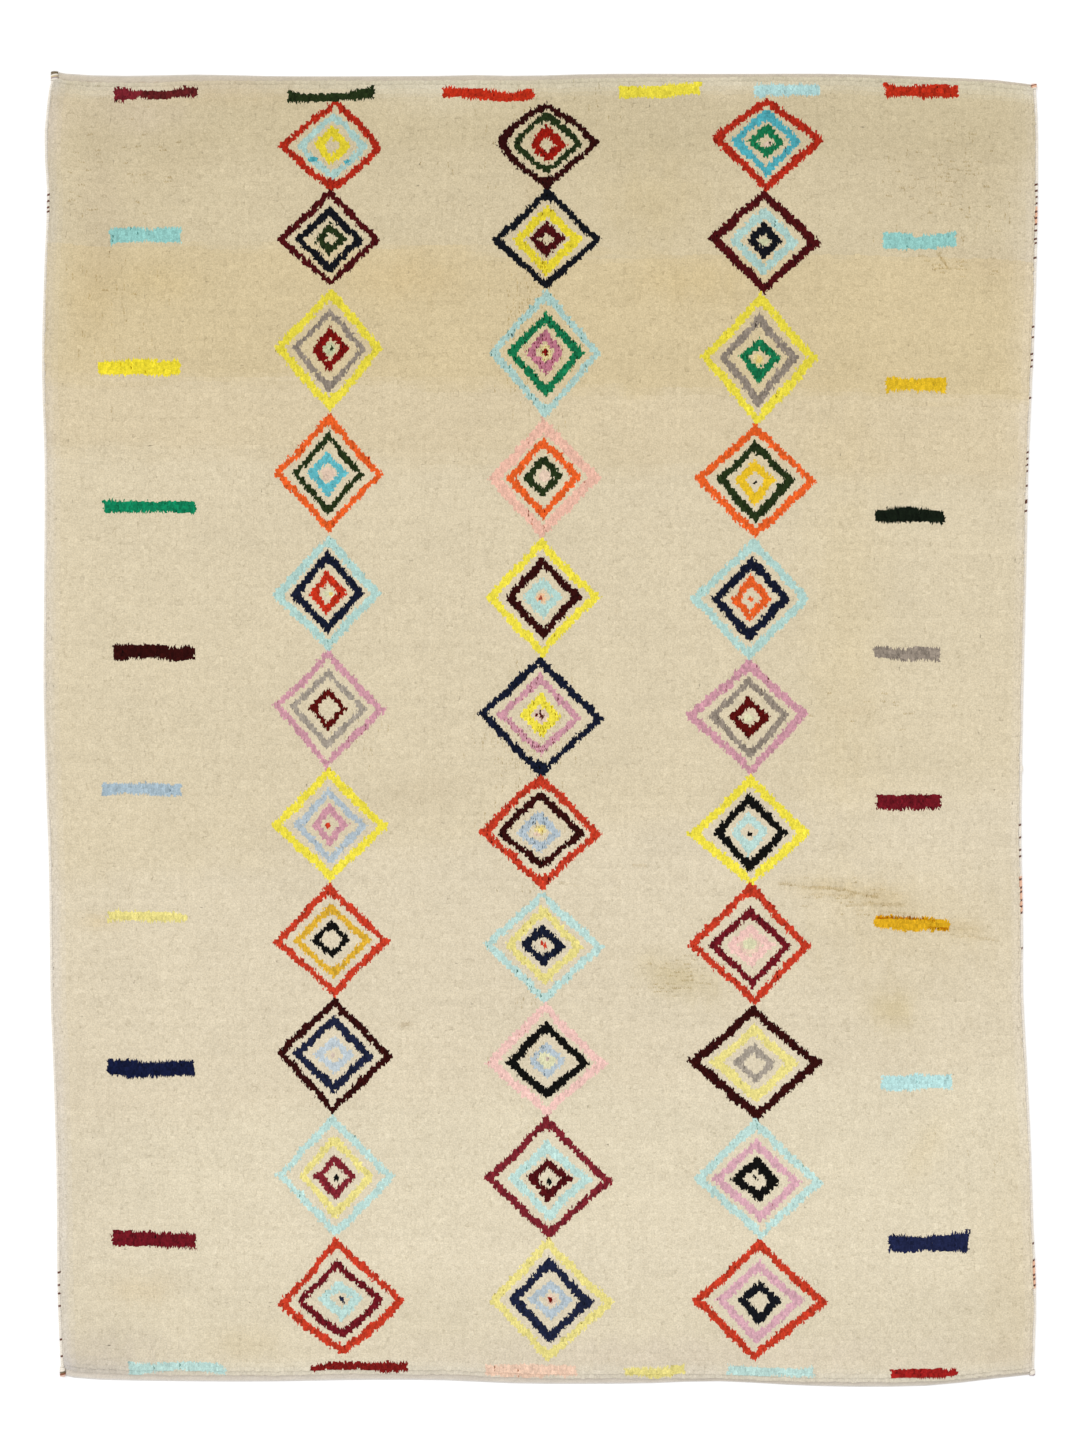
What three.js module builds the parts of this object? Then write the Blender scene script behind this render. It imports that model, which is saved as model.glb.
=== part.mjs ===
// A hand-knotted gabbeh rug lying flat on the floor, pile side up.
// Millimetres. Seen from above, +X is to the right and +Y towards the top end; +Z is up.
// The origin is on the floor, at the middle of the rug.

import * as THREE from 'three';

// Thicknesses and heights
const BASE_THICKNESS = 3;     // woven base, which the flat-woven ends show
const PILE_HEIGHT = 10;       // knotted pile above the base
const SWELLS = [              // how the pile rises and falls over the floor
  { height: 0.5, waveX: 420, waveY: 640, phase: 0.4 },
  { height: 0.4, waveX: 260, waveY: 310, phase: 2.1 },
];

// Side bindings, and the turns of yarn that close them at the corners
const CORD_WIDTH = 7;
const CORD_HEIGHT = 6.5;
const WRAP_WIDTH = 8.6;
const WRAP_HEIGHT = 8;
const WRAP_END_SHARE = 0.75;  // how full a corner wrap is at its two ends
const SEWN_GAP = 0.3;         // room between pieces that are sewn together
const MEND = { y: -62, halfLength: 8, extra: 1.8 };
const SECTION_SIDES = 8;

// The rug's outline, as uneven as hand weaving leaves it: outer edge of each side, and each end
const LEFT_SIDE = [
  { along: -988, out: -732 },
  { along: -860, out: -737.5 },
  { along: -690, out: -739 },
  { along: -500, out: -744.5 },
  { along: -420, out: -748 },
  { along: -200, out: -751 },
  { along: -80, out: -755.5 },
  { along: 60, out: -759 },
  { along: 240, out: -758 },
  { along: 410, out: -757.5 },
  { along: 560, out: -761.5 },
  { along: 715, out: -757.5 },
  { along: 820, out: -753.5 },
  { along: 898, out: -758 },
  { along: 975, out: -751 },
  { along: 1006, out: -743 },
];
const RIGHT_SIDE = [
  { along: -987, out: 755 },
  { along: -870, out: 758.5 },
  { along: -750, out: 754 },
  { along: -630, out: 750 },
  { along: -500, out: 743.5 },
  { along: -400, out: 738.5 },
  { along: -300, out: 738.5 },
  { along: -180, out: 736 },
  { along: -60, out: 737 },
  { along: 60, out: 739 },
  { along: 250, out: 743.5 },
  { along: 410, out: 747 },
  { along: 530, out: 752.5 },
  { along: 650, out: 757.5 },
  { along: 770, out: 760.5 },
  { along: 890, out: 761.5 },
  { along: 940, out: 760.5 },
  { along: 985, out: 757.5 },
];
const BOTTOM_END = [
  { along: -732, out: -988 },
  { along: -700, out: -994 },
  { along: -580, out: -997 },
  { along: -430, out: -998 },
  { along: -270, out: -995.5 },
  { along: -150, out: -996 },
  { along: -30, out: -1001 },
  { along: 150, out: -1001 },
  { along: 270, out: -997.5 },
  { along: 400, out: -1004 },
  { along: 490, out: -1006 },
  { along: 600, out: -1004 },
  { along: 700, out: -993 },
  { along: 755, out: -987 },
];
const TOP_END = [
  { along: -743, out: 1006 },
  { along: -715, out: 1001.5 },
  { along: -640, out: 999 },
  { along: -520, out: 1001 },
  { along: -400, out: 998.5 },
  { along: -160, out: 999 },
  { along: -90, out: 1000.5 },
  { along: -30, out: 999 },
  { along: 90, out: 1002 },
  { along: 280, out: 1002 },
  { along: 460, out: 1002 },
  { along: 580, out: 998 },
  { along: 700, out: 992.5 },
  { along: 757, out: 985 },
];

// How far the flat-woven band reaches in from each end before the pile begins
const BOTTOM_BAND = [
  { along: -740, out: 14 },
  { along: -200, out: 13 },
  { along: 150, out: 12 },
  { along: 270, out: 8 },
  { along: 450, out: 11 },
  { along: 620, out: 10 },
  { along: 760, out: 8 },
];
const TOP_BAND = [
  { along: -740, out: 14 },
  { along: -560, out: 14 },
  { along: -380, out: 10 },
  { along: -100, out: 11 },
  { along: 200, out: 9 },
  { along: 760, out: 8 },
];

// Lines of the pile's surface: an inset from a side or end, or a share of the way across.
// fullness is how much of the pile height stands there.
const FIELD_COLUMNS = 28;
const FIELD_ROWS = 44;
const SIDE_SHOULDER = [
  { inset: 0, fullness: 0.6 },
  { inset: 3, fullness: 0.86 },
  { inset: 12, fullness: 1 },
];
const END_SHOULDER = [
  { bands: 0, inset: 0, fullness: 0 },
  { bands: 1, inset: 0, fullness: 0 },
  { bands: 1, inset: 3, fullness: 0.75 },
  { bands: 1, inset: 11, fullness: 1 },
];

const woolColour = 0xdccfae;
const cordColour = 0xcfc0a8;
const wrapColour = 0x8a4a34;

// A smooth curve through a table's rows, read off at one place
function readCurve(rows, along) {
  const last = rows.length - 1;
  let i = 0;
  while (i < last - 1 && along > rows[i + 1].along) i += 1;
  const before = rows[Math.max(i - 1, 0)];
  const from = rows[i];
  const to = rows[i + 1];
  const after = rows[Math.min(i + 2, last)];
  const span = to.along - from.along;
  const t = THREE.MathUtils.clamp((along - from.along) / span, 0, 1);
  const slopeFrom = span * (to.out - before.out) / (to.along - before.along);
  const slopeTo = span * (after.out - from.out) / (after.along - from.along);
  const t2 = t * t;
  const t3 = t2 * t;
  return (2 * t3 - 3 * t2 + 1) * from.out + (t3 - 2 * t2 + t) * slopeFrom
    + (3 * t2 - 2 * t3) * to.out + (t3 - t2) * slopeTo;
}

// The body's own sides lie inside the outline by the width of the bindings
const bodyLeft = (y) => readCurve(LEFT_SIDE, y) + CORD_WIDTH + SEWN_GAP;
const bodyRight = (y) => readCurve(RIGHT_SIDE, y) - CORD_WIDTH - SEWN_GAP;
const bodyBottom = (x) => readCurve(BOTTOM_END, x);
const bodyTop = (x) => readCurve(TOP_END, x);

function gridLines(shoulder, fieldCount) {
  const low = shoulder.map((line) => ({ ...line, edge: 'low' }));
  const high = shoulder.map((line) => ({ ...line, edge: 'high' })).reverse();
  const field = [];
  for (let i = 1; i < fieldCount; i += 1) field.push({ share: i / fieldCount, fullness: 1 });
  return [...low, ...field, ...high];
}

const columns = gridLines(SIDE_SHOULDER, FIELD_COLUMNS);
const rows = gridLines(END_SHOULDER, FIELD_ROWS);

function lineX(column, y) {
  const low = bodyLeft(y);
  const high = bodyRight(y);
  if (column.edge === 'low') return low + column.inset;
  if (column.edge === 'high') return high - column.inset;
  return THREE.MathUtils.lerp(low, high, column.share);
}

function lineY(row, x) {
  const low = bodyBottom(x);
  const high = bodyTop(x);
  if (row.edge === 'low') return low + row.bands * readCurve(BOTTOM_BAND, x) + row.inset;
  if (row.edge === 'high') return high - row.bands * readCurve(TOP_BAND, x) - row.inset;
  return THREE.MathUtils.lerp(low, high, row.share);
}

function swell(x, y) {
  let rise = 0;
  for (const wave of SWELLS) {
    const acrossX = Math.sin(2 * Math.PI * x / wave.waveX + wave.phase);
    const acrossY = Math.sin(2 * Math.PI * y / wave.waveY + 2 * wave.phase);
    rise += wave.height * acrossX * acrossY;
  }
  return rise;
}

// Where a column crosses a row on the rug's upper surface
function surfacePoint(column, row) {
  let y = lineY(row, lineX(column, 0));
  let x = lineX(column, y);
  y = lineY(row, x);
  x = lineX(column, y);
  const fullness = column.fullness * row.fullness;
  const z = BASE_THICKNESS + fullness * (PILE_HEIGHT + swell(x, y));
  return new THREE.Vector3(x, y, z);
}

function meshGeometry(points, faces) {
  const geometry = new THREE.BufferGeometry();
  geometry.setFromPoints(points);
  geometry.setIndex(faces.flat());
  geometry.computeVertexNormals();
  return geometry;
}

// Grid numbers of the rim's points, counter-clockwise seen from above
function rimOrder(columnCount, rowCount) {
  const order = [];
  for (let c = 0; c < columnCount - 1; c += 1) order.push([c, 0]);
  for (let r = 0; r < rowCount - 1; r += 1) order.push([columnCount - 1, r]);
  for (let c = columnCount - 1; c > 0; c -= 1) order.push([c, rowCount - 1]);
  for (let r = rowCount - 1; r > 0; r -= 1) order.push([0, r]);
  return order;
}

// One solid: the lumpy upper surface, upright walls round the rim, and a flat underside
function rugBody(surface) {
  const points = surface.flat();
  const faces = [];
  const at = (c, r) => r * columns.length + c;
  for (let r = 0; r < rows.length - 1; r += 1) {
    for (let c = 0; c < columns.length - 1; c += 1) {
      faces.push([at(c, r), at(c + 1, r), at(c + 1, r + 1)]);
      faces.push([at(c, r), at(c + 1, r + 1), at(c, r + 1)]);
    }
  }
  const rim = rimOrder(columns.length, rows.length).map(([c, r]) => at(c, r));
  const firstFoot = points.length;
  for (const upper of rim) points.push(new THREE.Vector3(points[upper].x, points[upper].y, 0));
  const middle = points.length;
  points.push(new THREE.Vector3(0, 0, 0));
  for (let i = 0; i < rim.length; i += 1) {
    const next = (i + 1) % rim.length;
    faces.push([firstFoot + i, firstFoot + next, rim[next]]);
    faces.push([firstFoot + i, rim[next], rim[i]]);
    faces.push([middle, firstFoot + next, firstFoot + i]);
  }
  return meshGeometry(points, faces);
}

// A closed skin over rings with the same number of points, its faces turned outwards
function closedLoft(rings) {
  const points = rings.flat();
  const count = rings[0].length;
  const faces = [];
  for (let r = 0; r < rings.length - 1; r += 1) {
    for (let i = 0; i < count; i += 1) {
      const a = r * count + i;
      const b = r * count + (i + 1) % count;
      faces.push([a, b, b + count]);
      faces.push([a, b + count, a + count]);
    }
  }
  const start = (rings.length - 1) * count;
  for (let i = 1; i < count - 1; i += 1) {
    faces.push([0, i + 1, i]);
    faces.push([start, start + i, start + i + 1]);
  }
  let volume = 0;
  for (const [a, b, c] of faces) {
    volume += points[a].dot(new THREE.Vector3().crossVectors(points[b], points[c]));
  }
  return meshGeometry(points, volume > 0 ? faces : faces.map(([a, b, c]) => [a, c, b]));
}

// An eight-sided ring that stands on the floor, outside the body's side by the sewn gap
function bindingRing(rim, outward, y, width, height) {
  const inner = readRim(rim, y) + outward * SEWN_GAP;
  const ring = [];
  for (let i = 0; i < SECTION_SIDES; i += 1) {
    const angle = 2 * Math.PI * (i + 0.5) / SECTION_SIDES;
    const reach = 0.5 / Math.cos(Math.PI / SECTION_SIDES);
    const across = width * (0.5 + reach * Math.cos(angle));
    const up = height * (0.5 + reach * Math.sin(angle));
    ring.push(new THREE.Vector3(inner + outward * across, y, up));
  }
  return ring;
}

// x of the body's side wall, which runs straight from one row of the grid to the next
function readRim(rim, y) {
  let i = 0;
  while (i < rim.length - 2 && y > rim[i + 1].y) i += 1;
  const share = (y - rim[i].y) / (rim[i + 1].y - rim[i].y);
  return THREE.MathUtils.lerp(rim[i].x, rim[i + 1].x, share);
}

function mendBulge(mend, y) {
  const away = Math.abs(y - mend.y) / mend.halfLength;
  return away < 1 ? mend.extra * Math.cos(away * Math.PI / 2) ** 2 : 0;
}

// The overcast cord along one side, from one flat-woven band to the other
function sideCord(rim, outward, mend) {
  const ends = { low: rim[1].y + SEWN_GAP / 2, high: rim[rim.length - 2].y - SEWN_GAP / 2 };
  const stations = [ends.low, ...rim.slice(2, -2).map((point) => point.y), ends.high];
  if (mend) {
    for (const step of [-1, -0.5, 0, 0.5, 1]) stations.push(mend.y + step * mend.halfLength);
    stations.sort((a, b) => a - b);
  }
  const rings = stations.map((y) => {
    const bulge = mend ? mendBulge(mend, y) : 0;
    return bindingRing(rim, outward, y, CORD_WIDTH + bulge, CORD_HEIGHT + bulge);
  });
  return closedLoft(rings);
}

// A few turns of yarn round a corner of a flat-woven band
function cornerWrap(rim, outward, atTop) {
  const [outer, inner] = atTop
    ? [rim[rim.length - 1].y, rim[rim.length - 2].y + SEWN_GAP / 2]
    : [rim[0].y, rim[1].y - SEWN_GAP / 2];
  const rings = [0, 0.2, 0.8, 1].map((share) => {
    const full = share === 0 || share === 1 ? WRAP_END_SHARE : 1;
    const y = THREE.MathUtils.lerp(outer, inner, share);
    return bindingRing(rim, outward, y, WRAP_WIDTH * full, WRAP_HEIGHT * full);
  });
  return closedLoft(rings);
}

function addPiece(group, name, geometry, colour) {
  const material = new THREE.MeshStandardMaterial({ color: colour, roughness: 0.95, metalness: 0 });
  const mesh = new THREE.Mesh(geometry, material);
  mesh.name = name;
  group.add(mesh);
}

const rug = new THREE.Group();
const surface = rows.map((row) => columns.map((column) => surfacePoint(column, row)));
addPiece(rug, 'rug', rugBody(surface), woolColour);

const sides = [
  { name: 'left', outward: -1, rim: surface.map((line) => line[0]), mend: null },
  { name: 'right', outward: 1, rim: surface.map((line) => line[line.length - 1]), mend: MEND },
];
for (const side of sides) {
  addPiece(rug, `selvedge_${side.name}`, sideCord(side.rim, side.outward, side.mend), cordColour);
  addPiece(rug, `corner_wrap_top_${side.name}`, cornerWrap(side.rim, side.outward, true), wrapColour);
  addPiece(rug, `corner_wrap_bottom_${side.name}`, cornerWrap(side.rim, side.outward, false), wrapColour);
}

export default rug;
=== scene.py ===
"""A hand-knotted gabbeh rug laid flat, pile side up, in a plain studio, seen from straight above.

Metres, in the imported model's frame: +X across the rug, +Y along it, +Z out of the pile.
The charts are in knots from the rug's middle: one knot is KNOT wide and high.
"""

import math
from itertools import product

import bpy
import numpy as np
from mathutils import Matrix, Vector
from mathutils.bvhtree import BVHTree


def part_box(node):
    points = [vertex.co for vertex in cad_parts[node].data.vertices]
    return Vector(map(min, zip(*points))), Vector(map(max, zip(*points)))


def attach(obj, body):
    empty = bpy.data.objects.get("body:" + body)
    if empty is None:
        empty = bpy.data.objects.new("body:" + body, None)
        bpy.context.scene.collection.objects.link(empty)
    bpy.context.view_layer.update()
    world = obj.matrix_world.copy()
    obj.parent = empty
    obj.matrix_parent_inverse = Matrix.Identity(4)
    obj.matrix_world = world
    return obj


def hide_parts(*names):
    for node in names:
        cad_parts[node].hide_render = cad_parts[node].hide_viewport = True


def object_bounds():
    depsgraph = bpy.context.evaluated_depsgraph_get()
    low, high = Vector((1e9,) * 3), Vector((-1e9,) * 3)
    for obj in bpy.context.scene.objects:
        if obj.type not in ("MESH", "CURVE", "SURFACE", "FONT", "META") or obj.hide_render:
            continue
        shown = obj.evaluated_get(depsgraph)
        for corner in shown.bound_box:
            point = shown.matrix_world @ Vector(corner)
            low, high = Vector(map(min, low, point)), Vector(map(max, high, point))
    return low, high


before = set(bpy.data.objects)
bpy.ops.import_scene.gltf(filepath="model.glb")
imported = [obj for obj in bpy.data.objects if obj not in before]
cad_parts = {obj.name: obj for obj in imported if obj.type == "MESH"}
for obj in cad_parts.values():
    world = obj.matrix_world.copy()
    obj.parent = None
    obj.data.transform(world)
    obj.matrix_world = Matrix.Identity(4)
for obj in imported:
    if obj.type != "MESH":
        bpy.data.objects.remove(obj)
cad_low, cad_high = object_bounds()

# Driving dimensions
KNOT = 0.0061
BASE_THICKNESS = 0.003
BED_HEIGHT = 0.0085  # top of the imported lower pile, in which the tufts stand
BED_INSET = 0.0012  # how far its sides stand in from the edge of the pile
CORD_WIDTH = 0.007
CORD_HEIGHT = 0.0065
SEWN_GAP = 0.0003
WEAVE_RELIEF = 0.0005
TURN = 0.0032  # from one turn of the binding yarn to the next
WARP = 0.00305
SEED = 2975

# The tufts
ROOT_HEIGHT = 0.006  # where a tuft's sides meet, inside the bed
DOME = 0.0012  # how far its tip stands above its shoulder
OVERLAP = 0.0008  # how far it spreads over its neighbours
SCATTER = 0.0002  # how far it stands out of line
UNEVEN = 0.0003  # how far it stands out of level
TWIST = 0.16  # radians that it is turned
PLUMPNESS = (0.94, 1.1)
LEAN = 0.00045  # how far each tip leans its own way
SWAY = 0.0010  # how far the tips of a patch lean together
NAP = -0.0005  # the nap's own lean, towards the bottom end
SHOULDER_LEAN = 0.8  # how much of its lean a shoulder takes
TIP_LEAN = 1.2
SPILL = 0.0018  # how far the outermost tufts lean out over bindings and bands
SPILL_REACH = 3  # knots in from the edge over which they do
PARTING = 0.001  # how far tufts lean away from the deepest crease
SINKING = 0.0008  # how far they sink in it
OPEN_ENOUGH = 0.1  # how open the pile is where the two ends of a knot stand apart
SPLIT_EDGE = 2  # knots along each side whose ends stand apart
PILE_PIECES = 6

# How the charts are drawn, in knots
POINT = 0.3  # how much further a ring is drawn than its points show
POINT_HALF = 1.5  # how far to either side of a point its line is thicker
INNER_FILL = 0.15  # how much thicker the inner rings' lines are at top and bottom
WAVER = ((0.12, 0.1), (0.1, 0.12))  # how unsteady lines are, across and along: in lumps, and end by end
FACET_WAVER = 0.12
BAR_WAVER = 0.6  # how much of that a bar has along the rug

# Soft noise: how strong it is, and how many knots high and wide its lumps are
LINE_NOISE = (0.2, 2, 4)
LOT_NOISE = ((1.5, 1.5, 40), (1.2, 6, 10))
STAIN_NOISE = (0.25, 4, 4)
GROUND_NOISE = ((0.02, 9, 28), (0.013, 4, 8), (0.017, 1, 20), (0.01, 2, 90), (0.012, 40, 2))
BAND_NOISE = (0.04, 3, 9)

# Yarns, as they look in daylight. Spots cover the ground and the pale yarns from blush on.
YARNS = {
    "red": (194, 48, 24), "brick": (182, 44, 24), "tomato": (194, 58, 35), "scarlet": (160, 26, 12),
    "ruby": (126, 15, 11), "crimson": (86, 11, 8), "wine": (76, 13, 16), "burgundy": (106, 20, 30),
    "claret": (121, 34, 43), "aubergine": (50, 10, 8), "ink": (17, 20, 27), "navy": (19, 25, 44),
    "indigo": (28, 34, 58), "black": (14, 14, 12), "green": (36, 50, 22), "emerald": (22, 122, 77),
    "yellow": (242, 226, 72), "sun": (239, 219, 56), "lemon": (231, 218, 136), "mustard": (220, 173, 52),
    "gold": (237, 195, 42), "orange": (233, 97, 38), "aqua": (181, 214, 206), "mint": (188, 218, 211),
    "turquoise": (156, 212, 205), "ice": (184, 222, 220), "sky": (84, 178, 190), "lagoon": (97, 184, 194),
    "powder": (181, 194, 202), "haze": (191, 202, 208), "grey": (149, 137, 124), "ash": (164, 154, 141),
    "orchid": (206, 151, 163), "plum": (199, 126, 144), "rosy": (213, 166, 177), "pink": (238, 196, 186),
    "salmon": (239, 190, 169), "garnet": (96, 30, 31), "maroon": (122, 24, 22), "cherry": (158, 30, 28),
    "shell": (236, 202, 178), "clay": (170, 80, 60), "canary": (250, 230, 56), "amber": (226, 174, 32),
    "jade": (14, 130, 88), "pine": (18, 27, 16), "mist": (171, 190, 201), "marine": (18, 25, 56),
    "midnight": (28, 34, 66), "blush": (228, 202, 180), "peach": (234, 190, 150), "sage": (205, 207, 166),
    "celery": (222, 219, 181), "straw": (232, 216, 158), "honey": (238, 214, 124), "dusk": (204, 186, 172),
}
CREAM = (222, 209, 180)
BAND_YARNS = {"top": (221, 210, 192), "bottom": (220, 211, 198)}
BAND_SHADES = {"top": (0.955, 1), "bottom": (1.05, 0.99)}  # at the left and the right
BINDING_YARNS = {
    "cream": (224, 216, 203), "peach": (224, 178, 150), "brown": (98, 64, 54), "olive": (112, 98, 78),
    "tan": (190, 172, 138), "rust": (132, 84, 62), "rose": (212, 182, 168), "mauve": (160, 145, 146),
}
BINDING_SHADES = {"left": 0.95, "right": 1}
TURN_SHADES = (0.92, 1.05)  # how much the cream turns vary
CORNERS = {
    "top_left": "olive olive cream tan mauve cream",
    "top_right": "rose rust peach peach cream",
    "bottom_left": "rose rust olive cream cream",
    "bottom_right": "mauve cream cream cream",
}
IN_DAYLIGHT = 0.795  # what the yarns reflect, as a share of how light they look
DYED_GRAIN = (0.22, 0.09)  # how much facets of dark and of light dyed yarn vary in shade
LIGHT_DYE = 0.6  # how light the light ones are
UNDYED_GRAIN = 0.034
GREY_GRAIN = (0.92, 0.98, 1.12)  # undyed wool's grain is grey
GRAIN_PARTS = 0.7  # of the grain: a yarn end's, and each facet's own
SHADE_SPECKS = 0.015  # the share of facets with a painted speck of shade, as in the gaps between tufts
SHADE_SPECK_DEPTH = 0.12
DYED_SHADE = 0.8  # the power by which the dyed yarns share in the ground's light and dark: its stains and its painted shade
DEEPER = 1.6  # painted shade in the open pile, along creases and in strokes of shadow: how much deeper and darker a colour is there
DARKER = 0.45

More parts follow.
